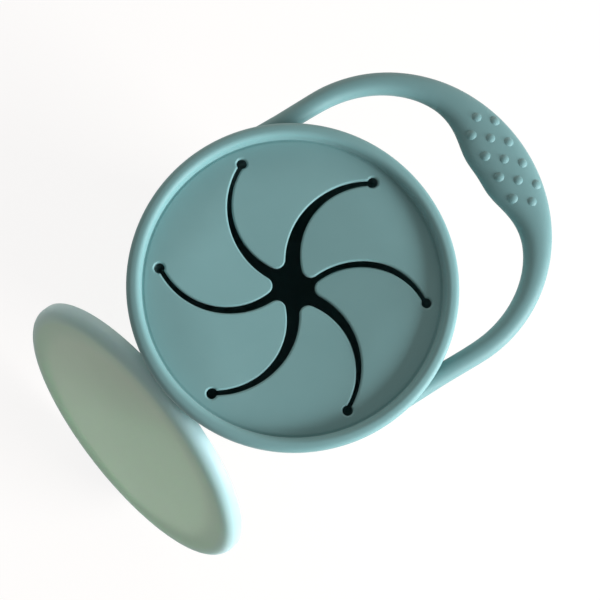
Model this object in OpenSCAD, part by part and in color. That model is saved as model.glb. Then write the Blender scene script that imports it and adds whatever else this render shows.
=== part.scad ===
// Toddler snack cup: soft cup with a loop handle, a slit flap lid and a leaning cover.
// Millimetres, +Z up. The origin is the centre of the cup's foot on the table,
// and the handle points along +X.

/* [Cup] */
// Height from the table to the crest of the lid's rolled rim
total_h = 95; // [70:1:120]
// Outer radius of the rolled rim
rim_r = 46; // [38:0.5:60]
// Radius of the flat foot
foot_r = 32.5; // [24:0.5:36]
// Outer radius at the top of the rounded foot
base_r = 36.6; // [30:0.1:38]
// Height of the rounded foot
foot_h = 5; // [3:0.5:8]
// Wall thickness of the cup
wall = 2.2; // [1.6:0.1:3]
// Thickness of the cup's floor
floor_t = 2.8; // [2:0.1:4]
// Height of the straight neck under the rim
neck_h = 14; // [12:0.5:20]

/* [Flap lid] */
// Thickness of the disc and its flaps
flap_t = 1.6; // [1.2:0.1:2.2]
// How far the disc lies below the rim's crest
disc_drop = 3.8; // [3:0.1:7]
// Distance from the disc's edge in to the round slit ends
slit_margin = 4.4; // [2.5:0.1:10]
// Diameter of a round slit end
slit_end_d = 2.9; // [2.4:0.1:4]
// Turn of the first slit end from the handle's line, degrees
slit_turn = 21.2; // [0:0.1:60]
// Distance at which the slits' middle lines pass the axis
eye_r = 1.94; // [1.2:0.02:3]
// Slit width at its round end
slit_w_end = 1.55; // [0.9:0.05:2]
// Extra width that a slit gains on its way to the middle
slit_w_gain = 1.7; // [0.5:0.1:2.2]
// Angle between a slit's start and the line from its end to the middle, degrees
slit_lean = 33.7; // [30:0.1:38]
// Radius of a flap's rounded tip
tip_r = 2.4; // [1:0.1:3]
// Angle by which the flaps hang towards the middle at rest, degrees
flap_sag = 6; // [0:0.5:12]
// Depth of the plug that holds the lid in the cup's mouth
plug_h = 7; // [5:0.5:10]

/* [Handle] */
// Distance from the cup's axis to the handle's outer end
handle_reach = 80.4; // [70:0.2:100]
// Width of a strand, seen from above
strand_w = 6; // [5:0.1:8]
// Thickness of a strand, up and down
strand_t = 6; // [5:0.1:7]
// Width of the grip at its middle
grip_w = 16.8; // [12:0.1:20]
// Thickness of the grip at its middle
grip_t = 7.4; // [6:0.1:9]
// Height of the handle's centre plane below the rim's crest
handle_drop = 9.6; // [9.6:0.1:12]
// Distance from the cup's axis at which the strands start to flex
flex_x = 22.5; // [22:0.1:26]
// Diameter of a grip bump where it meets the grip
bump_d = 2.8; // [2:0.1:3.4]
// Height of a grip bump
bump_h = 0.6; // [0.3:0.05:1]

/* [Cover] */
// Outer radius of the cover
cover_r = 46.8; // [38.8:0.1:61]
// Depth of the cover from its top face to its open edge
cover_t = 5; // [4.4:0.1:7]
// Angle between the leaning cover and the table, degrees
cover_lean = 70.4; // [60:0.1:78]
// Direction from the cup's axis to the cover, degrees from the handle's line
cover_turn = 188; // [150:1:210]
// Gap between the leaning cover and the cup
lean_gap = 0.3; // [0.3:0.1:2]

/* [Hidden] */
$fn = 96;
teal = [0.43, 0.60, 0.60];
milky = [0.66, 0.74, 0.66, 0.8];
fit = 0.05;                              // sliding gap of one fitted face
roll_r = 2.1;                            // radius of the rolled rim's section
flange_t = 1.15;                         // wall of the rolled rim's outer flange
roll_h = 5.6;                            // height of the rolled rim
disc_z = total_h - disc_drop;            // top face of the disc
under_z = disc_z - flap_t;               // under face of the disc
crease_r = rim_r - 2*roll_r;             // where the disc meets the rim
inner_t = 1.15;                          // wall between the disc's edge and the channel in the rim
bead_r = rim_r - flange_t - 0.1;         // outer radius of the cup's lip
neck_r = bead_r - 1.45;                  // outer radius of the cup's neck
mouth_r = neck_r - 2.15;                 // inner radius of the cup's mouth
bead_z = total_h - 2*roll_r - fit;       // top of the cup's lip, up in the rim's channel
bead_in = crease_r + inner_t + fit;      // inner radius of that lip
ledge_z = under_z - fit;                 // ledge under the edge of the disc
neck_z = total_h - 6.8;                  // top of the straight neck
neck_z0 = neck_z - neck_h;               // bottom of the straight neck
// slit arcs, in the frame of one slit end at angle 0: each slit is the crescent
// between an outer and an inner circle, which pass either side of its round end
flap_n = 6;                              // one named piece each
slit_end_r = crease_r - slit_margin;
slit_arc_r = (slit_end_r*slit_end_r - eye_r*eye_r)/(2*(slit_end_r*cos(slit_lean) + eye_r));
arc_o = slit_arc_r + (slit_w_end + slit_w_gain)/2;
arc_i = slit_arc_r - (slit_w_end + slit_w_gain)/2;
co = [slit_end_r, 0] - (arc_o - slit_w_end/3)*[cos(slit_lean), sin(slit_lean)];
ci = [slit_end_r, 0] - (arc_i + slit_w_end*2/3)*[cos(slit_lean), sin(slit_lean)];
step_a = 360/flap_n;
chord_d = slit_end_r*cos(step_a/2);      // distance of a flap's hinge line from the axis
knuckle_r = flap_t/2 - 0.02;             // radius of a flap's round root
root_skip = 4.5;                         // a flap's root starts this far from the slit beside it
// handle path: a slightly flattened half ring about [ring_x, 0], then two straight strands
ring_x = 36;
handle_z = total_h - handle_drop;
ring_a = handle_reach - ring_x;          // outer half axis along X
ring_b = rim_r - 0.1;                    // outer half axis along Y
strand_y = ring_b - strand_w/2;
root_y = strand_y - 0.4;
hinge_r = strand_t/2;
lug_x = 5;                               // a lug's outer face is straight from here to the root
lug_r = 38;                              // and runs back into the neck on this arc
lug_tail = 21;                           // how far back the arc goes
lug_in = mouth_r - 4;                    // the lug's inner side, inside the cup's wall
// cover: its axis leans over, its open side faces the cup
plate_t = 1.4;
recess = 0.8;                            // how far the face lies below the border
border_w = 2.8;                          // width of the raised border
round_r = 2.2;                           // rounding of the outer edge
lip_r = 0.35;                            // rounding of the open edge
plug_ring_r = crease_r - 0.25;           // outside of the ring that enters the well above the flaps
plug_ring_t = 1.45;
plug_ring_up = 1.2;                      // the plug ring ends this far above the open edge
cover_up = (cover_r - lip_r)*sin(cover_lean) + (cover_t - lip_r)*cos(cover_lean) + lip_r;
// outside radius of the closed cup at height z
function side_at(z) = z > total_h ? 0 :
  z > total_h - roll_r ? rim_r - roll_r + sqrt(roll_r*roll_r - pow(z - total_h + roll_r, 2)) :
  z > total_h - roll_h ? rim_r :
  z > neck_z ? bead_r :
  z > neck_z0 ? neck_r : base_r + (neck_r - base_r)*max(0, z - foot_h)/(neck_z0 - foot_h);
// least distance of the cover's centre at which its ring of radius r, d below
// its face and rounded by rounding, clears the closed cup
function lean_out(r, d, rounding) = max([for (b = [0:0.5:90]) let(
    z = cover_up + r*cos(b)*sin(cover_lean) - d*cos(cover_lean),
    side = side_at(z) + lean_gap + rounding)
  r*cos(b)*cos(cover_lean) + d*sin(cover_lean) + sqrt(max(0, side*side - pow(r*sin(b), 2)))]);
cover_out = max(lean_out(cover_r - lip_r, cover_t - lip_r, lip_r), lean_out(cover_r, cover_t - lip_r, 0),
                lean_out(cover_r, round_r, 0), lean_out(plug_ring_r, cover_t - plug_ring_up, 0),
                lean_out(plug_ring_r - plug_ring_t, cover_t - plug_ring_up, 0),
                max([for (r = [0:2:plug_ring_r]) lean_out(r, recess + plate_t, 0)]));

function turn(p, a) = [p[0]*cos(a) - p[1]*sin(a), p[0]*sin(a) + p[1]*cos(a)];
function unit(v) = v/norm(v);
// crossing of two circles, the one to the left of the line from a to b
function cross2(a, ra, b, rb) =
  let(d = norm(b - a), t = (ra*ra - rb*rb + d*d)/(2*d), h = sqrt(max(0, ra*ra - t*t)),
      u = (b - a)/d) a + u*t + [-u[1], u[0]]*h;

// ---------- cup ----------

module rounded_slab(x0, x1, z0, z1, r) {
  translate([x0, z0 + r]) square([x1 - x0, z1 - z0 - 2*r]);
  translate([x0 + r, z0]) square([x1 - x0 - 2*r, z1 - z0]);
  for (x = [x0 + r, x1 - r], z = [z0 + r, z1 - r]) translate([x, z]) circle(r);
}

module cup_outside() {
  rotate_extrude() union() {
    // foot, taper, neck and the flare under the lip
    polygon([[0, 0], [foot_r, 0], [foot_r + (base_r - foot_r)*0.38, foot_h*0.08],
             [foot_r + (base_r - foot_r)*0.71, foot_h*0.29], [foot_r + (base_r - foot_r)*0.92, foot_h*0.62],
             [base_r, foot_h], [neck_r, neck_z0],
             [neck_r, neck_z], [bead_r, neck_z + 0.9], [0, neck_z + 0.9]]);
    rounded_slab(mouth_r - 4, bead_r, neck_z + 0.2, bead_z, 0.6);
  }
}

module cup_inside() {
  slope = (neck_r - base_r)/(neck_z0 - foot_h);
  in_r = base_r - wall;
  low = floor_t + 4;
  rotate_extrude() polygon([[0, floor_t], [in_r - 4, floor_t], [in_r - 2.4, floor_t + 0.4],
    [in_r - 1, floor_t + 1.4], [in_r - 0.3, floor_t + 2.7], [in_r + slope*2, low],
    [neck_r - wall, neck_z0], [mouth_r, under_z - plug_h - 2],
    [mouth_r, ledge_z], [bead_in, ledge_z], [bead_in, total_h], [0, total_h]]);
}

// lug that carries one end of the handle, grown out of the neck along a tangent
module handle_lug() {
  outer_y = root_y + strand_w/2;
  translate([0, 0, handle_z - strand_t/2]) union() {
    translate([lug_x, lug_in, 0]) cube([flex_x - hinge_r/2 - lug_x, outer_y - lug_in, strand_t]);
    intersection() {
      translate([lug_x, outer_y - lug_r, 0]) cylinder(r = lug_r, h = strand_t);
      translate([lug_x - lug_tail, lug_in, 0]) cube([lug_tail + 0.01, outer_y - lug_in, strand_t]);
    }
  }
}

module cup() {
  color(teal) difference() {
    union() {
      cup_outside();
      difference() {
        union() {
          handle_lug();
          mirror([0, 1, 0]) handle_lug();
        }
        // room for the round roots of the handle
        translate([flex_x, 0, handle_z]) rotate([90, 0, 0]) cylinder(r = hinge_r + fit, h = 3*rim_r, center = true);
        // the lugs stop at the outer face of the roots
        for (s = [-1, 1]) translate([flex_x - 4, s*(root_y - strand_w/2 - 5.3), handle_z])
          cube([9, 10, strand_t + 1], center = true);
      }
    }
    cup_inside();
  }
}

// ---------- flap lid ----------

module slit_holes(h) {
  for (k = [0:flap_n - 1]) rotate(slit_turn + k*step_a)
    translate([slit_end_r, 0, under_z - 1]) cylinder(d = slit_end_d, h = h);
}

module lid_ring() {
  color(teal) difference() {
    rotate_extrude() union() {
      translate([rim_r - roll_r, total_h - roll_r]) circle(roll_r);
      // outer flange over the cup's lip
      rounded_slab(rim_r - flange_t, rim_r, total_h - roll_h, total_h - roll_r, 0.5);
      translate([rim_r - flange_t, total_h - roll_r - 1.5]) square([flange_t, 1.5]);
      // disc, and the wall that rises from its edge to the roll
      translate([0, under_z]) square([crease_r + inner_t, flap_t]);
      translate([crease_r, under_z]) square([inner_t, total_h - roll_r - under_z]);
      // plug with a soft sealing rib
      translate([mouth_r - 1.55, under_z - plug_h]) square([1.45, plug_h + 0.2]);
      translate([mouth_r - 0.82, under_z - plug_h + 1.6]) circle(0.74);
    }
    // six-sided opening for the flaps, its sides a hair outside their hinge lines
    translate([0, 0, under_z - 0.5]) linear_extrude(flap_t + 1)
      polygon([for (k = [0:flap_n - 1]) turn([(chord_d + knuckle_r + fit)/cos(step_a/2), 0], slit_turn + k*step_a)]);
    slit_holes(4);
  }
}

// angles from a down to b, turning clockwise, in n steps
function clockwise(a, b, n) = let(drop = (a - b)%360, d = drop < 0 ? drop + 360 : drop) [for (i = [0:n]) a - d*i/n];
function arc(c, r, angles) = [for (a = angles) c + r*[cos(a), sin(a)]];
function heading(v) = atan2(v[1], v[0]);

// flap between slit k and slit k + 1, hinged on the line between their round ends;
// its outline runs down slit k, round the tip, back up slit k + 1 and along the hinge line
module flap(k) {
  a0 = slit_turn + k*step_a;
  end0 = turn([slit_end_r, 0], a0);
  end1 = turn(end0, step_a);
  outer_c = turn(co, a0);
  inner_c = turn(ci, a0 + step_a);
  tip = cross2(outer_c, arc_o + tip_r, inner_c, arc_i - tip_r);
  start = end0 + unit(end1 - end0)*root_skip;
  from0 = heading(outer_c - tip);
  hinge = concat((end0 + end1)/2, [under_z + flap_t/2]);
  mid_a = a0 + step_a/2;
  // the flap is drawn level and then hung on its hinge line
  color(teal) translate(hinge) rotate([0, 0, mid_a]) rotate([0, -flap_sag, 0]) rotate([0, 0, -mid_a]) translate(-hinge)
  difference() {
    union() {
      translate([0, 0, under_z]) linear_extrude(flap_t) polygon(concat(
        [start],
        [for (i = [0:23]) let(a = heading(start - outer_c), b = heading(tip - outer_c), d = (b - a + 720)%360)
          outer_c + arc_o*[cos(a + d*i/23), sin(a + d*i/23)]],
        arc(tip, tip_r, clockwise(from0, heading(tip - inner_c), 9)),
        arc(inner_c, arc_i, clockwise(heading(tip - inner_c) - 0.5, heading(end1 - inner_c), 24)),
        [end1]));
      // round root on the hinge line
      translate([start[0], start[1], under_z + flap_t/2]) rotate([0, 0, heading(end1 - end0)]) rotate([0, 90, 0])
        cylinder(r = knuckle_r, h = norm(end1 - start));
    }
    translate([end1[0], end1[1], under_z - 1]) cylinder(d = slit_end_d, h = flap_t + 2);
  }
}

// ---------- handle ----------

// width and thickness of the handle at angle a along the half ring
function swell(a) = 1/(1 + pow(abs(a)/28.8, 3.6));
function width_at(a) = strand_w + (grip_w - strand_w)*swell(a);
function thick_at(a) = strand_t + (grip_t - strand_t)*swell(a);
function outer_at(a) = 1/sqrt(pow(cos(a)/ring_a, 2) + pow(sin(a)/ring_b, 2));
// one section is [centre x, centre y, outward direction, half width, half thickness]
function ring_section(a) = let(c = outer_at(a) - width_at(a)/2)
  [ring_x + c*cos(a), c*sin(a), a, width_at(a)/2, thick_at(a)/2];
function strand_section(s, t) = [ring_x + (flex_x - ring_x)*t, s*(strand_y + (root_y - strand_y)*t), s*90,
  width_at(90)/2 + (strand_w - width_at(90))/2*t, thick_at(90)/2 + (strand_t - thick_at(90))/2*t];
full = 2.3;                              // roundness of a section: 2 is an ellipse, more is fuller
function soft(v) = sign(v)*pow(abs(v), 2/full);
function section_point(s, q) = [s[0] + s[3]*soft(cos(q))*cos(s[2]), s[1] + s[3]*soft(cos(q))*sin(s[2]),
  handle_z + s[4]*soft(sin(q))];
// height of the grip's top face at offset u from its middle line
function top_at(a, u) = thick_at(a)/2*pow(1 - pow(min(0.98, abs(2*u/width_at(a))), full), 1/full);

module handle_loop() {
  n = 20;
  sections = concat([for (t = [1:-0.25:0.25]) strand_section(-1, t)],
                    [for (a = [-90:4.5:90]) ring_section(a)],
                    [for (t = [0.25:0.25:1]) strand_section(1, t)]);
  m = len(sections);
  polyhedron([for (s = sections, j = [0:n - 1]) section_point(s, 360*j/n)],
    concat([[for (j = [n - 1:-1:0]) j]],
           [for (i = [0:m - 2], j = [0:n - 1]) [i*n + j, i*n + (j + 1)%n, (i + 1)*n + (j + 1)%n, (i + 1)*n + j]],
           [[for (j = [0:n - 1]) (m - 1)*n + j]]), convexity = 6);
}

module handle() {
  cap_r = (bump_d*bump_d/4 + bump_h*bump_h)/(2*bump_h);
  mid_c = outer_at(0) - grip_w/2;
  color(teal) union() {
    handle_loop();
    // round roots that flex in the cup's lugs
    for (s = [-1, 1]) translate([flex_x, s*root_y, handle_z]) rotate([90, 0, 0])
      cylinder(r = hinge_r, h = strand_w, center = true);
    // staggered grip bumps, 4 - 5 - 4
    for (row = [-1:1]) {
      count = row == 0 ? 5 : 4;
      for (j = [0:count - 1]) {
        y = (j - (count - 1)/2)*7.15;
        x = ring_x + mid_c + 0.4 + row*3.85;
        a = atan2(y, x - ring_x);
        u = norm([x - ring_x, y]) - (outer_at(a) - width_at(a)/2);
        translate([x, y, handle_z + top_at(a, u) + bump_h - cap_r]) sphere(r = cap_r, $fn = 24);
      }
    }
  }
}

// ---------- cover ----------

module cover_body() {
  // drawn with its axis along Z, the top face up at z = 0
  rotate_extrude() difference() {
    union() {
      translate([0, -recess - plate_t]) square([cover_r - border_w, plate_t]);
      // raised, rounded border and the skirt below it
      translate([cover_r - border_w - 0.6, -2.2]) square([border_w + 0.6 - round_r, 2.2 - 0.5]);
      translate([cover_r - border_w + 0.5 - 0.6, -0.5]) square([border_w - round_r + 0.1, 0.5]);
      translate([cover_r - border_w - 0.1, -0.5]) circle(0.5);
      intersection() {
        translate([cover_r - round_r, -round_r]) circle(round_r);
        translate([cover_r - round_r - 0.01, -round_r]) square(round_r + 0.1);
      }
      translate([cover_r - round_r - 0.01, -cover_t + lip_r]) square([round_r + 0.01, cover_t - round_r - lip_r]);
      translate([cover_r - lip_r, -cover_t + lip_r]) circle(lip_r);
      // plug ring that enters the well above the flaps
      translate([plug_ring_r - plug_ring_t, -cover_t + plug_ring_up])
        square([plug_ring_t, cover_t - plug_ring_up - recess]);
    }
    // channel that fits over the rolled rim
    translate([rim_r - roll_r, -plate_t - roll_r - fit]) circle(roll_r + 0.1 + fit);
    translate([crease_r - 0.15, -cover_t - 1]) square([rim_r - crease_r + 0.25, cover_t + 1 - plate_t - roll_r - fit]);
  }
}

module cover() {
  color(milky) rotate([0, 0, cover_turn]) translate([cover_out, 0, cover_up])
    rotate([0, cover_lean, 0]) cover_body();
}

cup();
handle();
lid_ring();
flap(0);  // flap_1
flap(1);  // flap_2
flap(2);  // flap_3
flap(3);  // flap_4
flap(4);  // flap_5
flap(5);  // flap_6
cover();
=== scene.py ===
import math
import bpy
from mathutils import Matrix, Vector


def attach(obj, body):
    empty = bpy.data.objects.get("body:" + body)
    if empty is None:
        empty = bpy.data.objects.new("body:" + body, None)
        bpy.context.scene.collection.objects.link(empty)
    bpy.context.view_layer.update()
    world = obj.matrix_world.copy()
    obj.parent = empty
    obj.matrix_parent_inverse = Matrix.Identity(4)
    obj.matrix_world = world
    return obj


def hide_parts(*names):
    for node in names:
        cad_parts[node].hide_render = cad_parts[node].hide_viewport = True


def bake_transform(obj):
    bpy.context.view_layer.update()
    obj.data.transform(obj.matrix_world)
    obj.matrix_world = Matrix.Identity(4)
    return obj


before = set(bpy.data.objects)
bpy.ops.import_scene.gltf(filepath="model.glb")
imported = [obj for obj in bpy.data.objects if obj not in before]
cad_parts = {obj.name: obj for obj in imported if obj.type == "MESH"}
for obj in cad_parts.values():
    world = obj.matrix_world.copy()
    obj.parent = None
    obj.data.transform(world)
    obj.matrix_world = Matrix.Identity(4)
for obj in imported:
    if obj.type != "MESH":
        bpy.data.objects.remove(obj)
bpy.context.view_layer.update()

scene = bpy.context.scene
mm = 0.001   # shapes are given in millimetres until they reach Blender


# small helpers

def place(x, y, z=0.0):
    return Vector((x * mm, y * mm, z * mm))


def polar(r, degrees, z):
    a = math.radians(degrees)
    return place(r * math.cos(a), r * math.sin(a), z)


def clearSelection():
    if bpy.context.mode != "OBJECT":
        bpy.ops.object.mode_set(mode="OBJECT")
    bpy.ops.object.select_all(action="DESELECT")


def only(piece):
    clearSelection()
    piece.select_set(True)
    bpy.context.view_layer.objects.active = piece


def editMode(piece, kind="VERT", action="DESELECT"):
    only(piece)
    bpy.ops.object.mode_set(mode="EDIT")
    bpy.ops.mesh.select_mode(type=kind)
    bpy.ops.mesh.select_all(action=action)


def pick(piece, kind, test):
    # selects the vertices, or the edges by their two ends, where the test in millimetres holds
    editMode(piece, kind)
    bpy.ops.object.mode_set(mode="OBJECT")
    mesh = piece.data
    if kind == "VERT":
        for vertex in mesh.vertices:
            vertex.select = test(vertex.co / mm)
    else:
        for edge in mesh.edges:
            edge.select = test(*(mesh.vertices[i].co / mm for i in edge.vertices))
    bpy.ops.object.mode_set(mode="EDIT")


def turn(degrees, axis, centre):
    # with no window the rotate operator turns the other way, hence the minus sign
    bpy.ops.transform.rotate(value=-math.radians(degrees), orient_axis=axis, center_override=centre)


def settle(piece, name):
    # the place goes into the mesh, the object stays at the origin
    only(piece)
    bpy.ops.object.transform_apply(location=True, rotation=True, scale=True)
    piece.name = name
    piece.data.name = name
    return piece


def useModifiers(piece):
    only(piece)
    for modifier in list(piece.modifiers):
        bpy.ops.object.modifier_apply(modifier=modifier.name)


def tidyMesh(piece):
    editMode(piece, action="SELECT")
    bpy.ops.mesh.remove_doubles(threshold=0.002 * mm)
    bpy.ops.mesh.normals_make_consistent(inside=False)
    clearSelection()


def smoothOver(piece, degrees):
    only(piece)
    bpy.ops.object.shade_smooth_by_angle(angle=math.radians(degrees))


def traceLine(name, points, closed=False):
    # one vertex, extruded from point to point as a pen would go
    clearSelection()
    bpy.ops.mesh.primitive_plane_add(size=mm, location=points[0])
    piece = bpy.context.object
    settle(piece, name)
    editMode(piece, action="SELECT")
    bpy.ops.mesh.merge(type="CENTER")
    for a, b in zip(points, points[1:]):
        bpy.ops.mesh.extrude_vertices_move(TRANSFORM_OT_translate={"value": b - a})
    if closed:
        bpy.ops.mesh.select_all(action="DESELECT")
        bpy.ops.object.mode_set(mode="OBJECT")
        for end in (0, len(points) - 1):
            piece.data.vertices[end].select = True
        bpy.ops.object.mode_set(mode="EDIT")
        bpy.ops.mesh.edge_face_add()
    clearSelection()
    return piece


def turnedPiece(name, line, steps, closed=False):
    # a profile of radii and heights, spun round the upright axis
    piece = traceLine(name, [place(p.x, 0, p.y) for p in line], closed)
    editMode(piece, action="SELECT")
    bpy.ops.mesh.spin(steps=steps, angle=math.tau, center=(0, 0, 0), axis=(0, 0, 1))
    tidyMesh(piece)
    return piece


def spun(point, degrees):
    a = math.radians(degrees)
    c, s = math.cos(a), math.sin(a)
    return Vector((point[0] * c - point[1] * s, point[0] * s + point[1] * c))


def heading(v):
    return math.degrees(math.atan2(v.y, v.x))


def arcPoints(centre, radius, start, end, steps, way=0):
    # way 1 goes round anticlockwise, -1 clockwise and 0 the short way
    sweep = (end - start) % 360
    if way == -1 or (way == 0 and sweep > 180):
        sweep -= 360
    return [centre + spun((radius, 0), start + sweep * k / steps) for k in range(steps + 1)]


def softCorners(corners, arcStep):
    # corners are (radius, height, rounding); a rounding becomes an arc in steps of arcStep degrees
    line = []
    for i, (r, z, rounding) in enumerate(corners):
        here = Vector((r, z))
        if rounding == 0 or i in (0, len(corners) - 1):
            line.append(here)
            continue
        before = (Vector(corners[i - 1][:2]) - here).normalized()
        after = (Vector(corners[i + 1][:2]) - here).normalized()
        half = before.angle(after) / 2
        middle = here + (before + after).normalized() * rounding / math.sin(half)
        start = here + before * rounding / math.tan(half) - middle
        end = here + after * rounding / math.tan(half) - middle
        sweep = start.angle_signed(end)
        steps = max(2, math.ceil(abs(math.degrees(sweep)) / arcStep))
        for k in range(steps + 1):
            line.append(middle + Matrix.Rotation(-sweep * k / steps, 2) @ start)
    return line


def finish(piece, name, material, slot, body, *nodes):
    # a piece with no body here is left unattached
    settle(piece, name)
    piece.data.materials.clear()
    piece.data.materials.append(material)
    if body:
        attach(piece, body)
    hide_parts(*nodes)
    clearSelection()
    print(name, "done,", len(piece.data.polygons), "faces")


# nodes and materials

def addNode(tree, kind, x, y, **settings):
    # a setting is the node's own, or else an input's name with _ for each space
    node = tree.nodes.new(kind)
    node.location = (x, y)
    for key, value in settings.items():
        if hasattr(node, key):
            setattr(node, key, value)
        else:
            node.inputs[key.replace("_", " ")].default_value = value
    return node


def feed(tree, socket, given):
    # given is a value or another node's output
    if isinstance(given, bpy.types.NodeSocket):
        tree.links.new(given, socket)
    else:
        socket.default_value = given


def addMath(tree, x, y, operation, *values):
    node = addNode(tree, "ShaderNodeMath", x, y, operation=operation)
    for socket, given in zip(node.inputs, values):
        feed(tree, socket, given)
    return node.outputs["Value"]


def addMix(tree, x, y, share, first, second, blend="MIX"):
    # a Mix node's colours are its inputs 6 and 7
    node = addNode(tree, "ShaderNodeMix", x, y, data_type="RGBA", blend_type=blend)
    for index, given in ((0, share), (6, first), (7, second)):
        feed(tree, node.inputs[index], given)
    return node.outputs[2]


def mixShaders(tree, x, share, first, second, out):
    mix = addNode(tree, "ShaderNodeMixShader", x, 0)
    for socket, given in zip(mix.inputs, (share, first, second)):
        tree.links.new(given, socket)
    tree.links.new(mix.outputs["Shader"], out.inputs["Surface"])


def ramp(node, stops):
    # stops are (position, grey or colour)
    elements = node.color_ramp.elements
    while len(elements) < len(stops):
        elements.new(1.0)
    for element, (position, value) in zip(elements, stops):
        element.position = position
        element.color = (value, value, value, 1) if isinstance(value, float) else (*value, 1)


def emptyTree(owner):
    owner.use_nodes = True
    owner.node_tree.nodes.clear()
    return owner.node_tree


skin = {
    "cloudRange": (0.3, 0.7), "cloudDetail": 3.0, "cloudRoughness": 0.55,
    # of the lint's specks the share lintRare stays out
    "lintScale": 420.0, "lintSize": 0.06, "lintRare": 0.82, "lintTone": (0.55, 0.62, 0.62, 1),
    "lintStretch": (1.0, 0.45, 1.0), "lintTurn": (0.3, 0.2, 0.9),
    "grainShare": 0.8, "grainDetail": 2.0, "grainRoughness": 0.6,
}


def softSkinGroup():
    # moulded rubber or plastic: slow cloudy tone, fine grain for the bump, stray paler lint
    group = bpy.data.node_groups.new("softSkin", "ShaderNodeTree")
    addSocket = group.interface.new_socket
    for name, kind, value in (("Light Tone", "Color", (0.2, 0.4, 0.4, 1)),
                              ("Deep Tone", "Color", (0.15, 0.3, 0.3, 1)),
                              ("Cloud Scale", "Float", 30.0), ("Grain Scale", "Float", 2600.0),
                              ("Lint", "Float", 0.3), ("Roughness Low", "Float", 0.5),
                              ("Roughness High", "Float", 0.62)):
        socket = addSocket(name=name, in_out="INPUT", socket_type="NodeSocket" + kind)
        socket.default_value = value
    for name, kind in (("Color", "Color"), ("Roughness", "Float"), ("Height", "Float")):
        addSocket(name=name, in_out="OUTPUT", socket_type="NodeSocket" + kind)
    link = group.links.new
    given = addNode(group, "NodeGroupInput", -1200, 0)
    result = addNode(group, "NodeGroupOutput", 900, 0)
    where = addNode(group, "ShaderNodeTexCoord", -1200, -400)

    cloud = addNode(group, "ShaderNodeTexNoise", -800, 200,
                    Detail=skin["cloudDetail"], Roughness=skin["cloudRoughness"])
    link(where.outputs["Object"], cloud.inputs["Vector"])
    link(given.outputs["Cloud Scale"], cloud.inputs["Scale"])
    low, high = skin["cloudRange"]
    cloudRange = addNode(group, "ShaderNodeMapRange", -600, 200, From_Min=low, From_Max=high)
    link(cloud.outputs["Fac"], cloudRange.inputs["Value"])
    tone = addMix(group, -300, 200, cloudRange.outputs["Result"],
                  given.outputs["Deep Tone"], given.outputs["Light Tone"])

    # lint: sparse short specks, stretched along one way
    stretch = addNode(group, "ShaderNodeMapping", -800, -300,
                      Scale=skin["lintStretch"], Rotation=skin["lintTurn"])
    link(where.outputs["Object"], stretch.inputs["Vector"])
    specks = addNode(group, "ShaderNodeTexVoronoi", -600, -300, Scale=skin["lintScale"])
    link(stretch.outputs["Vector"], specks.inputs["Vector"])
    speckMask = addNode(group, "ShaderNodeValToRGB", -400, -300)
    ramp(speckMask, ((0.0, 1.0), (skin["lintSize"], 0.0)))
    link(specks.outputs["Distance"], speckMask.inputs["Fac"])
    speckColour = addNode(group, "ShaderNodeSeparateColor", -600, -560)
    link(specks.outputs["Color"], speckColour.inputs["Color"])
    rare = addMath(group, -400, -520, "GREATER_THAN", speckColour.outputs["Red"], skin["lintRare"])
    lintMask = addMath(group, -100, -300, "MULTIPLY", speckMask.outputs["Color"], rare)
    lintShare = addMath(group, 100, -300, "MULTIPLY", lintMask, given.outputs["Lint"])
    link(addMix(group, 300, 200, lintShare, tone, skin["lintTone"]), result.inputs["Color"])

    # grain of the mould, with the lint on it, read by the bump
    grain = addNode(group, "ShaderNodeTexNoise", -800, -800,
                    Detail=skin["grainDetail"], Roughness=skin["grainRoughness"])
    link(where.outputs["Object"], grain.inputs["Vector"])
    link(given.outputs["Grain Scale"], grain.inputs["Scale"])
    height = addMath(group, 300, -700, "MULTIPLY_ADD",
                     grain.outputs["Fac"], skin["grainShare"], lintShare)
    link(height, result.inputs["Height"])

    # the roughness follows the clouds
    rough = addNode(group, "ShaderNodeMapRange", 300, -200)
    link(cloud.outputs["Fac"], rough.inputs["Value"])
    link(given.outputs["Roughness Low"], rough.inputs["To Min"])
    link(given.outputs["Roughness High"], rough.inputs["To Max"])
    link(rough.outputs["Result"], result.inputs["Roughness"])
    return group


softSkin = softSkinGroup()


def skinnedMaterial(name, shell, look, bumpStrength, grainDepth):
    # roughness and bump come from the soft skin, and the caller links the colour
    material = bpy.data.materials.new(name)
    tree = emptyTree(material)
    out = addNode(tree, "ShaderNodeOutputMaterial", 1200, 0)
    surface = addNode(tree, "ShaderNodeBsdfPrincipled", 900, 0, **shell)
    group = addNode(tree, "ShaderNodeGroup", 300, 300, node_tree=softSkin)
    for socket, value in look.items():
        group.inputs[socket].default_value = value
    bump = addNode(tree, "ShaderNodeBump", 650, -300, Strength=bumpStrength, Distance=grainDepth)
    tree.links.new(group.outputs["Roughness"], surface.inputs["Roughness"])
    tree.links.new(group.outputs["Height"], bump.inputs["Height"])
    tree.links.new(bump.outputs["Normal"], surface.inputs["Normal"])
    tree.links.new(surface.outputs["BSDF"], out.inputs["Surface"])
    return material, tree, group.outputs["Color"], surface.inputs["Base Color"]


silicone = {
    "shell": {"IOR": 1.41, "Subsurface_Weight": 0.15, "Subsurface_Radius": (0.7, 1.0, 1.0),
              "Subsurface_Scale": 0.0006, "Sheen_Weight": 0.12, "Sheen_Roughness": 0.45},
    "look": {"Lint": 0.25, "Roughness Low": 0.5, "Roughness High": 0.62},
    "bumpStrength": 0.25, "grainDepth": 0.00006,
    "cupTones": ((0.225, 0.425, 0.435, 1), (0.205, 0.395, 0.405, 1)),
    # the handle is the cup's silicone painted darker, as painted shade on the handle
    "handleShadeTones": ((0.192, 0.365, 0.375, 1), (0.176, 0.34, 0.35, 1)),
}


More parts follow.
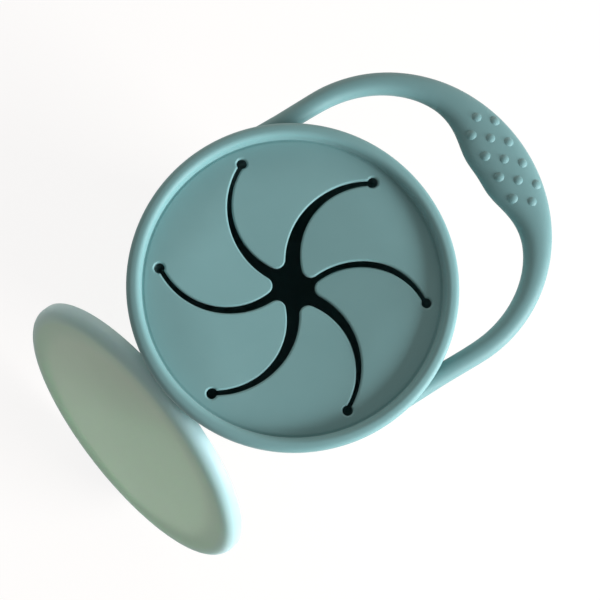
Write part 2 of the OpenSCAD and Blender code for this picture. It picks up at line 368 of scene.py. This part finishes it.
def siliconeMaterial(name, tones):
    s = silicone
    look = {"Light Tone": tones[0], "Deep Tone": tones[1], **s["look"]}
    material, tree, tone, base = skinnedMaterial(
        name, s["shell"], look, s["bumpStrength"], s["grainDepth"])
    tree.links.new(tone, base)
    return material


tealSilicone = siliconeMaterial("tealSilicone", silicone["cupTones"])
tealShadedHandle = siliconeMaterial("tealShadedHandle", silicone["handleShadeTones"])
print("silicone materials done")


# cup: turned shell with a rounded foot, a straight neck and a lip for the lid

cup = {
    "baseRadius": 36.35, "footRound": 4.6, "neckRadius": 43.3, "neckLow": 74.2, "neckRound": 14,
    "neckHigh": 88.2, "neckEdge": 0.4, "lipRadius": 44.75, "lipLow": 89.1, "lipUnder": 0.3,
    "lipTop": 90.74, "lipRound": 0.6, "lipInner": 43.0, "lipInnerRound": 0.5,
    "ledge": 89.55, "ledgeRound": 0.2, "mouthRadius": 41.15, "mouthEdge": 0.4,
    "mouthLow": 80.0, "mouthRound": 6, "taperRadius": 41.05, "taperHigh": 75.2, "taperRound": 4,
    "innerBase": 34.2, "innerRound": 3.8, "floor": 2.8, "steps": 144, "arcStep": 10, "smooth": 50,
}


def buildCup():
    c = cup
    line = softCorners([
        (0, 0, 0),
        (c["baseRadius"], 0, c["footRound"]),
        (c["neckRadius"], c["neckLow"], c["neckRound"]),
        (c["neckRadius"], c["neckHigh"], c["neckEdge"]),
        (c["lipRadius"], c["lipLow"], c["lipUnder"]),   # the lip stands out over the neck
        (c["lipRadius"], c["lipTop"], c["lipRound"]),
        (c["lipInner"], c["lipTop"], c["lipInnerRound"]),
        (c["lipInner"], c["ledge"], c["ledgeRound"]),   # the disc's edge rests here
        (c["mouthRadius"], c["ledge"], c["mouthEdge"]),
        (c["mouthRadius"], c["mouthLow"], c["mouthRound"]),
        (c["taperRadius"], c["taperHigh"], c["taperRound"]),
        (c["innerBase"], c["floor"], c["innerRound"]),
        (0, c["floor"], 0),
    ], c["arcStep"])
    piece = turnedPiece("cupShell", line, c["steps"])
    smoothOver(piece, c["smooth"])
    finish(piece, "cupShell", tealSilicone, "silicone", "cup", "cup")


# lid ring: rolled rim, flange over the cup's lip, edge of the disc and the plug

lid = {
    "crest": 95.0, "crestRadius": 43.55, "rollIn": 1.6, "wallLean": 4, "crownRadius": 5.5,
    "crownTurn": 10, "rimRadius": 45.9, "rimDrop": 0.4, "rollUnder": 91.1, "discTop": 91.2,
    "discUnder": 89.6, "discEdge": 41.0, "crease": 41.8,
    # across and up from the crease
    "groove": ((-0.62, 0), (-0.5, -0.05), (-0.22, -0.14), (0, -0.1), (0.03, 0.3)),
    "flangeInner": 44.85, "flangeLow": 89.4, "flangeRound": 0.55, "flangeInnerRound": 0.5,
    "wallOuter": 42.95, "wallRound": 0.3, "seatRound": 0.2,
    "plugOuter": 41.05, "plugInner": 39.6, "plugLow": 82.6, "plugRound": 0.4, "plugRoot": 0.1,
    "rib": 84.2, "ribOut": 0.08, "ribHalf": 0.5, "ribFoot": 0.9, "ribRound": 0.3, "ribFade": 0.2,
    "innerTurnSteps": 14, "crownSteps": 4, "outerTurnSteps": 12,
    "steps": 192, "arcStep": 15, "smooth": 40,
}


def buildLid():
    d = lid
    # edge of the disc and the fine groove along the crease
    line = [Vector((d["discEdge"], d["discTop"]))]
    line += [Vector((d["crease"] + across, d["discTop"] + up)) for across, up in d["groove"]]
    # up the inner wall and over the roll: a tight inner turn, a flatter crown and the outer turn
    inner = Vector((d["crestRadius"], d["crest"] - d["rollIn"]))
    line += arcPoints(inner, d["rollIn"], 180 - d["wallLean"], 90, d["innerTurnSteps"])
    crown = Vector((d["crestRadius"], d["crest"] - d["crownRadius"]))
    line += arcPoints(crown, d["crownRadius"], 90, 90 - d["crownTurn"], d["crownSteps"])[1:]
    fall = math.radians(d["crownTurn"])
    rollOut = (d["rimRadius"] - line[-1].x) / (1 - math.sin(fall))
    outer = line[-1] - rollOut * Vector((math.sin(fall), math.cos(fall)))
    line += arcPoints(outer, rollOut, 90 - d["crownTurn"], 0, d["outerTurnSteps"])[1:]
    # down the flange, up under the roll, and down and round the plug to the disc's underside
    ribOuter = d["plugOuter"] + d["ribOut"]
    line += softCorners([
        (d["rimRadius"], outer.y - d["rimDrop"], 0),
        (d["rimRadius"], d["flangeLow"], d["flangeRound"]),
        (d["flangeInner"], d["flangeLow"], d["flangeInnerRound"]),
        (d["flangeInner"], d["rollUnder"], d["wallRound"]),   # the channel for the cup's lip
        (d["wallOuter"], d["rollUnder"], d["wallRound"]),
        (d["wallOuter"], d["discUnder"], d["seatRound"]),
        (d["plugOuter"], d["discUnder"], d["plugRoot"]),
        (d["plugOuter"], d["rib"] + d["ribFoot"], d["ribRound"]),
        (ribOuter, d["rib"] + d["ribHalf"], d["ribRound"]),
        (ribOuter, d["rib"] - d["ribHalf"], d["ribRound"]),
        (d["plugOuter"], d["rib"] - d["ribFoot"], d["ribFade"]),
        (d["plugOuter"], d["plugLow"], d["plugRound"]),
        (d["plugInner"], d["plugLow"], d["plugRound"]),
        (d["plugInner"], d["discUnder"], d["wallRound"]),
        (d["discEdge"], d["discUnder"], 0),
    ], d["arcStep"])
    piece = turnedPiece("lidRing", line, d["steps"], closed=True)
    smoothOver(piece, d["smooth"])
    finish(piece, "lidRing", tealSilicone, "silicone", "lid", "lid_ring")


# flaps: six petals between curved slits, drawn once, each hung and swung a little its own way

flaps = {
    "count": 6, "firstTurn": 21.2, "endRadius": 37.4, "holeRadius": 1.45, "rimRadius": 41.0,
    "top": 91.2, "under": 89.6, "slitLean": 33.7, "eyePass": 1.94, "endWidth": 1.27,
    "widthGain": 1.7, "tipRound": 2.5, "edgeRound": 0.62, "edgeSteps": 5,
    "underShare": 0.5, "underSteps": 2,   # the underside's rounding as a share of the upper one
    "rimSteps": 20, "holeSteps": 12, "slitSteps": 30, "tipSteps": 12,
    "chord": 32.39, "bendOut": 0.5, "bendIn": 8.0, "strip": 0.7, "smooth": 35,
    # degrees that each petal hangs down, and that it swings sideways, from root to end of bend
    "hang": (5.6, 5.2, 5.2, 6.4, 6.2, 5.4), "swing": (-2.5, -0.2, 1.9, -1.1, -0.6, 4.4),
}


def meeting(a, ra, b, rb, side):
    # a point ra from a and rb from b, on the left (1) or the right (-1) of the line from a to b
    gap = (b - a).length
    along = (ra * ra - rb * rb + gap * gap) / (2 * gap)
    up = (b - a) / gap
    return a + up * along + side * Vector((-up.y, up.x)) * math.sqrt(ra * ra - along * along)


def innerMeeting(a, ra, b, rb):
    return min((meeting(a, ra, b, rb, side) for side in (1, -1)), key=lambda p: p.length)


def flapOutline():
    # the petal's middle lies along X, so its two slits end at minus and plus half a step
    f = flaps
    half = 180 / f["count"]
    lean = spun((1, 0), f["slitLean"])
    reach = 2 * (f["endRadius"] * lean.x + f["eyePass"])
    middleArc = (f["endRadius"] ** 2 - f["eyePass"] ** 2) / reach
    outerArc = middleArc + (f["endWidth"] + f["widthGain"]) / 2
    innerArc = middleArc - (f["endWidth"] + f["widthGain"]) / 2
    end = Vector((f["endRadius"], 0))
    outerC = spun(end - lean * (outerArc - f["endWidth"] / 3), -half)
    innerC = spun(end - lean * (innerArc + f["endWidth"] * 2 / 3), half)
    endA, endB = spun(end, -half), spun(end, half)
    slitA = innerMeeting(endA, f["holeRadius"], outerC, outerArc)
    slitB = innerMeeting(endB, f["holeRadius"], innerC, innerArc)
    tip = meeting(outerC, outerArc + f["tipRound"], innerC, innerArc - f["tipRound"], 1)
    seam = (f["rimRadius"] + f["endRadius"] + f["holeRadius"]) / 2
    # rim, hole, inner slit edge, tip, outer slit edge and the other hole
    holes, slits, tips = f["holeSteps"], f["slitSteps"], f["tipSteps"]
    points = arcPoints(Vector((0, 0)), f["rimRadius"], -half, half, f["rimSteps"])
    points += [spun((seam, 0), half)]
    points += arcPoints(endB, f["holeRadius"], half, heading(slitB - endB), holes, -1)
    for arc in ((innerC, innerArc, heading(slitB - innerC), heading(tip - innerC), slits),
                (tip, f["tipRound"], heading(tip - innerC), heading(outerC - tip), tips, 1),
                (outerC, outerArc, heading(tip - outerC), heading(slitA - outerC), slits),
                (endA, f["holeRadius"], heading(slitA - endA), -half, holes, -1)):
        points += arcPoints(*arc)[1:]
    return points + [spun((seam, 0), -half)]


def freeEdge(a, b, height):
    # true for an edge at this height along a slit, a hole or the tip, which gets a soft corner,
    # and not along the rim or the short seams between a hole and the rim
    f = flaps
    slack = 0.05
    near, far = sorted((a.xy.length, b.xy.length))
    half = 180 / f["count"]
    level = all(abs(p.z - height) < slack for p in (a, b))
    onSeam = all(abs(abs(heading(p.xy)) - half) < slack for p in (a, b)) and far > f["endRadius"]
    return level and near < f["rimRadius"] - slack and not onSeam


def hangPetal(piece, hang, swing):
    # each part beyond a cut turns a little further, so the petal curls down from its root
    f = flaps
    cuts = round((f["bendOut"] + f["bendIn"]) / f["strip"])
    x, z, tilt = f["chord"] + f["bendOut"], (f["top"] + f["under"]) / 2, 0.0
    for k in range(cuts):
        limit = x - f["strip"] / 2
        pick(piece, "VERT", lambda p: p.x < limit)
        turn(-hang / cuts, "Y", place(x, 0, z))
        turn(swing / cuts, "Z", place(x, 0, z))
        tilt += hang / cuts
        x -= f["strip"] * math.cos(math.radians(tilt))
        z -= f["strip"] * math.sin(math.radians(tilt))


def buildFlaps():
    f = flaps
    thick = f["top"] - f["under"]
    outline = [place(p.x, p.y, f["top"]) for p in flapOutline()]
    first = traceLine("flapPetal1", outline, closed=True)
    editMode(first, action="SELECT")
    bpy.ops.mesh.edge_face_add()
    bpy.ops.mesh.extrude_region_move(TRANSFORM_OT_translate={"value": (0, 0, -thick * mm)})
    bpy.ops.mesh.select_all(action="SELECT")
    bpy.ops.mesh.normals_make_consistent(inside=False)
    pick(first, "EDGE", lambda a, b: freeEdge(a, b, f["top"]))
    soft = f["edgeRound"] * mm
    bpy.ops.mesh.bevel(offset=soft, segments=f["edgeSteps"], affect="EDGES")
    pick(first, "EDGE", lambda a, b: freeEdge(a, b, f["under"]))
    bpy.ops.mesh.bevel(offset=soft * f["underShare"], segments=f["underSteps"], affect="EDGES")

    # cuts along the bend
    cut = f["chord"] + f["bendOut"]
    while cut > f["chord"] - f["bendIn"]:
        editMode(first, action="SELECT")
        bpy.ops.mesh.bisect(plane_co=place(cut, 0), plane_no=(1, 0, 0))
        cut -= f["strip"]
    clearSelection()

    petals = [first]
    for k in range(1, f["count"]):
        only(first)
        bpy.ops.object.duplicate(linked=False)
        petals.append(bpy.context.object)
    for k, piece in enumerate(petals):
        hangPetal(piece, f["hang"][k], f["swing"][k])
        smoothOver(piece, f["smooth"])
        flat = piece.modifiers.new("flatTops", "WEIGHTED_NORMAL")
        flat.keep_sharp = True
        flat.weight = 100
        useModifiers(piece)
        middle = f["firstTurn"] + 180 / f["count"] * (2 * k + 1)
        turn(middle, "Z", (0, 0, 0))
        finish(piece, f"flapPetal{k + 1}", tealSilicone, "silicone", None, f"flap_{k + 1}")
        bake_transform(piece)


# handle: one strand swept from the neck round the grip and back

handle = {
    "ringX": 36.0, "reach": 44.4, "halfWide": 45.9, "height": 85.4,
    "strand": 6.0, "gripWidth": 16.8, "gripThick": 7.4, "swellAngle": 28.8, "swellPower": 3.6,
    # where the sections stand: by angle round the ring, close together at the grip, then by x
    "fineStep": 1.5, "fineCount": 28, "wideAngles": (44, 48.5, 53, 58, 63, 68, 73, 78, 83, 87, 90),
    "rootStations": (32, 28, 25, 22.5, 20, 17.5, 15, 12.5, 10, 7.5, 5, 2.5, 0,
                     -2.5, -5, -7.5, -10, -13),
    # the strand's end: its outer side, the cup's neck beside it, and how it thins past the axis
    "rootX": 22.5, "rootY": 45.5, "rootFlare": 0.4, "neckMiddle": 42.2, "arcX": 5.0,
    "arcRadius": 38.0, "rootThin": 0.06, "rootInset": 0.3,
    # fuller shoulders than a plain circle, by the angle on the section
    "sides": 32, "fullness": ((11.25, 1.009), (22.5, 1.026), (33.75, 1.040), (45.0, 1.046)),
    # the grip's bumps, and the curve of the face that they stand on
    "bumpRows": (4, 5, 4), "bumpPitch": 7.28, "bumpRow": 3.85, "bumpRadius": 1.32,
    "bumpHeight": 0.46, "ballSides": 32, "ballRings": 24, "topPower": 2.3, "topLimit": 0.98,
    "smooth": 32,
}


def ringSection(degrees):
    # distance of the strand's middle from the ring's centre, half its width and half its thickness
    h = handle
    swell = 1 / (1 + (abs(degrees) / h["swellAngle"]) ** h["swellPower"])
    halfWidth = (h["strand"] + (h["gripWidth"] - h["strand"]) * swell) / 2
    halfThick = (h["strand"] + (h["gripThick"] - h["strand"]) * swell) / 2
    c, s = math.cos(math.radians(degrees)), math.sin(math.radians(degrees))
    out = 1 / math.sqrt((c / h["reach"]) ** 2 + (s / h["halfWide"]) ** 2) - halfWidth
    return out, halfWidth, halfThick


def rootSection(x):
    # where the strand runs into the cup's neck: its middle, half its width and half its thickness
    h = handle
    outer = h["rootY"]
    if x > h["rootX"]:
        outer = h["rootY"] + h["rootFlare"] * (x - h["rootX"]) / (h["ringX"] - h["rootX"])
    elif x <= h["arcX"]:
        rise = math.sqrt(h["arcRadius"] ** 2 - (x - h["arcX"]) ** 2)
        outer = h["rootY"] - h["arcRadius"] + rise
    inner = outer - h["strand"]
    if x < h["rootX"]:
        inner = max(inner, math.sqrt(h["neckMiddle"] ** 2 - x ** 2))
    thick = h["strand"] if x > 0 else h["strand"] + h["rootThin"] * x
    return (outer + inner) / 2, (outer - inner) / 2, thick / 2


def handleStations():
    # each is (x, y, turn in degrees, half width, half thickness), from the grip's middle to a root
    h = handle
    stations = []
    fineAngles = [h["fineStep"] * k for k in range(h["fineCount"])]
    for a in (*fineAngles, *h["wideAngles"]):
        out, halfWidth, halfThick = ringSection(a)
        c, s = math.cos(math.radians(a)), math.sin(math.radians(a))
        stations.append((h["ringX"] + out * c, out * s, a, halfWidth, halfThick))
    for x in h["rootStations"]:
        y, halfWidth, halfThick = rootSection(x)
        stations.append((x, y, 90.0, halfWidth, halfThick))
    return stations


def gripTop(x, y):
    # height of the grip's upper face over a point
    h = handle
    out, halfWidth, halfThick = ringSection(math.degrees(math.atan2(y, x - h["ringX"])))
    across = min(h["topLimit"], abs((math.hypot(x - h["ringX"], y) - out) / halfWidth))
    return h["height"] + halfThick * (1 - across ** h["topPower"]) ** (1 / h["topPower"])


def buildHandle():
    h = handle
    stations = handleStations()
    x, y, angle, halfWidth, halfThick = stations[0]
    centre = place(x, y, h["height"])
    clearSelection()
    bpy.ops.mesh.primitive_circle_add(vertices=h["sides"], radius=mm, location=centre,
                                      rotation=(math.pi / 2, 0, 0))
    piece = bpy.context.object
    settle(piece, "handleLoop")

    def slope(p):
        return math.degrees(math.atan2(abs(p.z - h["height"]), abs(p.x - x)))

    for corner, factor in h["fullness"]:
        for near in sorted({corner, 90 - corner}):
            pick(piece, "VERT", lambda p: abs(slope(p) - near) < 90 / h["sides"])
            bpy.ops.transform.resize(value=(factor, factor, factor), center_override=centre)
    editMode(piece, action="SELECT")
    bpy.ops.transform.resize(value=(halfWidth, 1, halfThick), center_override=centre)

    # the section is carried from station to station, turned and resized on the way
    for nextX, nextY, nextAngle, nextWidth, nextThick in stations[1:]:
        target = place(nextX, nextY, h["height"])
        bpy.ops.mesh.extrude_edges_move(TRANSFORM_OT_translate={"value": target - centre})
        if nextAngle != angle:
            turn(nextAngle - angle, "Z", target)
        spread, lift = nextWidth / halfWidth, nextThick / halfThick
        bpy.ops.transform.resize(value=(spread, spread, lift), center_override=target)
        centre, angle, halfWidth, halfThick = target, nextAngle, nextWidth, nextThick
    bpy.ops.mesh.edge_face_add()
    bpy.ops.mesh.inset(thickness=h["rootInset"] * mm)
    bpy.ops.mesh.merge(type="COLLAPSE")
    clearSelection()

    both = piece.modifiers.new("otherStrand", "MIRROR")
    both.use_axis = (False, True, False)
    both.merge_threshold = 0.1 * mm
    fine = piece.modifiers.new("smoothStrand", "SUBSURF")
    fine.levels = fine.render_levels = 2
    useModifiers(piece)
    tidyMesh(piece)

    # grip bumps in staggered rows: balls sunk into the grip
    middleX = h["ringX"] + h["reach"] - h["gripWidth"] / 2
    ball = (h["bumpRadius"] ** 2 + h["bumpHeight"] ** 2) / (2 * h["bumpHeight"])
    balls = []
    for row, count in enumerate(h["bumpRows"]):
        for k in range(count):
            bx = middleX + (row - 1) * h["bumpRow"]
            by = (k - (count - 1) / 2) * h["bumpPitch"]
            centre = place(bx, by, gripTop(bx, by) + h["bumpHeight"] - ball)
            clearSelection()
            bpy.ops.mesh.primitive_uv_sphere_add(segments=h["ballSides"], ring_count=h["ballRings"],
                                                 radius=ball * mm, location=centre)
            balls.append(bpy.context.object)
    clearSelection()
    for item in balls:
        item.select_set(True)
    bpy.context.view_layer.objects.active = balls[0]
    bpy.ops.object.join()
    allBalls = settle(balls[0], "gripBalls")
    joined = piece.modifiers.new("gripBumps", "BOOLEAN")
    joined.operation = "UNION"
    joined.object = allBalls
    useModifiers(piece)
    only(allBalls)
    bpy.ops.object.delete()
    smoothOver(piece, h["smooth"])
    finish(piece, "handleLoop", tealShadedHandle, "silicone", None, "handle")
    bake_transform(piece)


# cover: milky snap-on lid, leaning on the cup with its face outwards

cover = {
    "radius": 46.8, "depth": 5.0, "lean": 70.4, "turn": 188.0, "out": 63.9, "up": 45.67,
    "recess": 0.6, "plate": 1.4, "edgeRound": 3.4, "steps": 192, "arcStep": 10, "smooth": 40,
    # how far inside the edge, and how softly, the face rises to the border
    "slopeFoot": (10.5, 30), "slopeCrest": (4.9, 16),
    # inside: the skirt, the channel over the rim and the ring that goes into the well
    "skirt": 0.7, "skirtRound": 0.32, "snapDepth": 3.5, "snapRound": 0.9,
    "channelOuter": 1.0, "channelInner": 4.6, "channelDepth": 1.5, "channelRound": 1.4,
    "ringOuter": 5.15, "ringChamfer": (0.1, 0.2), "ringInner": 6.7, "ringDepth": 3.8,
    "ringOuterRound": 0.2, "ringInnerRound": 0.3, "wellRound": 0.6,
    # colours from the middle out, and where they change as shares of the radius; the band's darker
    # tone is painted shade
    "faceTone": (0.575, 0.765, 0.64), "faceEnd": 0.74, "bandShadeTone": (0.50, 0.74, 0.61),
    "bandStart": 0.90, "wallTone": (0.45, 0.71, 0.75, 1),
    "shell": {"IOR": 1.45, "Subsurface_Weight": 0.8, "Subsurface_Radius": (0.9, 1.0, 0.85),
              "Subsurface_Scale": 0.004},
    "look": {"Cloud Scale": 22.0, "Grain Scale": 1900.0, "Lint": 0.12,
             "Light Tone": (1.0, 1.0, 1.0, 1), "Deep Tone": (0.93, 0.94, 0.93, 1),
             "Roughness Low": 0.4, "Roughness High": 0.52},
    "bumpStrength": 0.2, "grainDepth": 0.00005,
}


def coverMaterial():
    c = cover
    material, tree, grainTone, base = skinnedMaterial(
        "milkyCover", c["shell"], c["look"], c["bumpStrength"], c["grainDepth"])
    link = tree.links.new
    # the mapping is turned and moved as the cover is, so Z is its axis and the face lies at zero
    where = addNode(tree, "ShaderNodeTexCoord", -900, 0)
    lie = (Matrix.Rotation(math.radians(c["turn"]), 4, "Z")
           @ Matrix.Rotation(math.radians(c["lean"]), 4, "Y"))
    own = addNode(tree, "ShaderNodeMapping", -700, 0, vector_type="TEXTURE",
                  Location=polar(c["out"], c["turn"], c["up"]), Rotation=lie.to_euler())
    link(where.outputs["Object"], own.inputs["Vector"])
    split = addNode(tree, "ShaderNodeSeparateXYZ", -500, 0)
    link(own.outputs["Vector"], split.inputs["Vector"])
    flatPoint = addNode(tree, "ShaderNodeCombineXYZ", -300, 0)
    link(split.outputs["X"], flatPoint.inputs["X"])
    link(split.outputs["Y"], flatPoint.inputs["Y"])
    radius = addNode(tree, "ShaderNodeVectorMath", -100, 0, operation="LENGTH")
    link(flatPoint.outputs["Vector"], radius.inputs[0])
    share = addMath(tree, 100, 0, "DIVIDE", radius.outputs["Value"], c["radius"] * mm)
    # the band over the channel is painted darker than the face: painted shade for the light that
    # the thick border lets through less than the thin plate
    zones = addNode(tree, "ShaderNodeValToRGB", 300, 0)
    ramp(zones, ((0.0, c["faceTone"]), (c["faceEnd"], c["faceTone"]),
                 (c["bandStart"], c["bandShadeTone"]), (1.0, c["bandShadeTone"])))
    zones.color_ramp.interpolation = "EASE"
    link(share, zones.inputs["Fac"])
    outer = addNode(tree, "ShaderNodeMapRange", 300, -300, From_Min=c["bandStart"], From_Max=1.0)
    link(share, outer.inputs["Value"])
    plain = addMix(tree, 600, 0, outer.outputs["Result"], zones.outputs["Color"], c["wallTone"])
    link(addMix(tree, 750, 200, 1.0, plain, grainTone, "MULTIPLY"), base)
    return material


def buildCover():
    c = cover
    r = c["radius"]
    face = -c["recess"]
    under = face - c["plate"]
    footIn, footRound = c["slopeFoot"]
    crestIn, crestRound = c["slopeCrest"]
    chamferIn, chamferUp = c["ringChamfer"]
    line = softCorners([
        (0, face, 0),
        (r - footIn, face, footRound),
        (r - crestIn, 0, crestRound),
        (r, 0, c["edgeRound"]),
        (r, -c["depth"], c["skirtRound"]),
        (r - c["skirt"], -c["depth"], c["skirtRound"]),
        (r - c["skirt"], -c["snapDepth"], c["snapRound"]),   # the snap edge ends here
        (r - c["channelOuter"], -c["channelDepth"], c["channelRound"]),
        (r - c["channelInner"], -c["channelDepth"], c["channelRound"]),
        (r - c["ringOuter"], -c["ringDepth"] + chamferUp, c["ringOuterRound"]),
        (r - c["ringOuter"] - chamferIn, -c["ringDepth"], c["ringOuterRound"]),
        (r - c["ringInner"], -c["ringDepth"], c["ringInnerRound"]),
        (r - c["ringInner"], under, c["wellRound"]),
        (0, under, 0),
    ], c["arcStep"])
    piece = turnedPiece("snapCover", line, c["steps"])
    # stand it up, lean it and set it beside the cup
    only(piece)
    turn(c["lean"], "Y", (0, 0, 0))
    turn(c["turn"], "Z", (0, 0, 0))
    bpy.ops.transform.translate(value=polar(c["out"], c["turn"], c["up"]))
    settle(piece, "snapCover")
    smoothOver(piece, c["smooth"])
    finish(piece, "snapCover", coverMaterial(), "milky", "cover", "cover")


# camera, lamps, floor and room, in metres, degrees and watts

camera = {
    "lens": 64.748, "sensor": 36, "near": 0.01,
    "at": (-0.045731, -0.030053, 0.384755), "turned": (8.8189, -4.7599, -32.0547),
}


def buildCamera():
    data = bpy.data.cameras.new("photoView")
    data.lens = camera["lens"]
    data.sensor_width = camera["sensor"]
    data.clip_start = camera["near"]
    view = bpy.data.objects.new("photoView", data)
    view.location = camera["at"]
    view.rotation_euler = [math.radians(a) for a in camera["turned"]]
    scene.collection.objects.link(view)
    scene.camera = view
    print("camera done")


lamps = {
    "aim": (0, 0, 0.07), "distance": 0.9,
    "windowSide": {"azimuth": -57, "elevation": 16.5, "size": (0.45, 0.45), "power": 14.0,
                   "tone": (0.95, 1.0, 1.02)},
    "roomSide": {"azimuth": 65, "elevation": 14, "size": (0.8, 0.5), "power": 2.4,
                 "tone": (1.0, 0.9, 0.82)},
}


def buildLamp(name):
    lamp = lamps[name]
    data = bpy.data.lights.new(name, "AREA")
    data.shape = "RECTANGLE"
    data.size, data.size_y = lamp["size"]
    data.energy = lamp["power"]
    data.color = lamp["tone"]
    a, e = math.radians(lamp["azimuth"]), math.radians(lamp["elevation"])
    away = Vector((math.cos(e) * math.cos(a), math.cos(e) * math.sin(a), math.sin(e)))
    panel = bpy.data.objects.new(name, data)
    panel.location = Vector(lamps["aim"]) + away * lamps["distance"]
    panel.rotation_euler = away.to_track_quat("Z", "Y").to_euler()
    scene.collection.objects.link(panel)
    print(name, "done")


room = {
    "floorSize": 6, "floorTone": (0.62, 0.55, 0.51, 1), "floorGlow": 1.2, "glowShare": 0.72,
    "light": (1.0, 0.92, 0.89, 1), "strength": 0.29, "backdrop": (1, 1, 1, 1),
}


def floorMaterial():
    # the camera, glossy and transmitted rays see most of it white, but its shadow stays
    material = bpy.data.materials.new("paleFloor")
    tree = emptyTree(material)
    out = addNode(tree, "ShaderNodeOutputMaterial", 600, 0)
    matte = addNode(tree, "ShaderNodeBsdfDiffuse", 0, 100, Color=room["floorTone"])
    glow = addNode(tree, "ShaderNodeEmission", 0, -100, Strength=room["floorGlow"])
    path = addNode(tree, "ShaderNodeLightPath", -400, 300).outputs
    seen = addMath(tree, -200, 300, "MAXIMUM", path["Is Camera Ray"], path["Is Glossy Ray"])
    seen = addMath(tree, 0, 300, "MAXIMUM", seen, path["Is Transmission Ray"])
    share = addMath(tree, 200, 300, "MULTIPLY", seen, room["glowShare"])
    mixShaders(tree, 400, share, matte.outputs["BSDF"], glow.outputs["Emission"], out)
    return material


def buildRoom():
    clearSelection()
    bpy.ops.mesh.primitive_plane_add(size=room["floorSize"], location=(0, 0, 0))
    floor = bpy.context.object
    settle(floor, "paleFloor")
    floor.data.materials.append(floorMaterial())
    # soft light from all round; the camera itself sees plain white behind the floor
    world = bpy.data.worlds.new("softRoom")
    scene.world = world
    tree = emptyTree(world)
    out = addNode(tree, "ShaderNodeOutputWorld", 400, 0)
    soft = addNode(tree, "ShaderNodeBackground", 0, 100,
                   Color=room["light"], Strength=room["strength"])
    white = addNode(tree, "ShaderNodeBackground", 0, -100, Color=room["backdrop"])
    path = addNode(tree, "ShaderNodeLightPath", -200, 300)
    mixShaders(tree, 200, path.outputs["Is Camera Ray"],
               soft.outputs["Background"], white.outputs["Background"], out)
    print("floor and room done")


buildCup()
buildLid()
buildFlaps()
buildHandle()
buildCover()
buildCamera()
buildRoom()
buildLamp("windowSide")
buildLamp("roomSide")
scene.view_settings.view_transform = "Standard"
print("scene built")
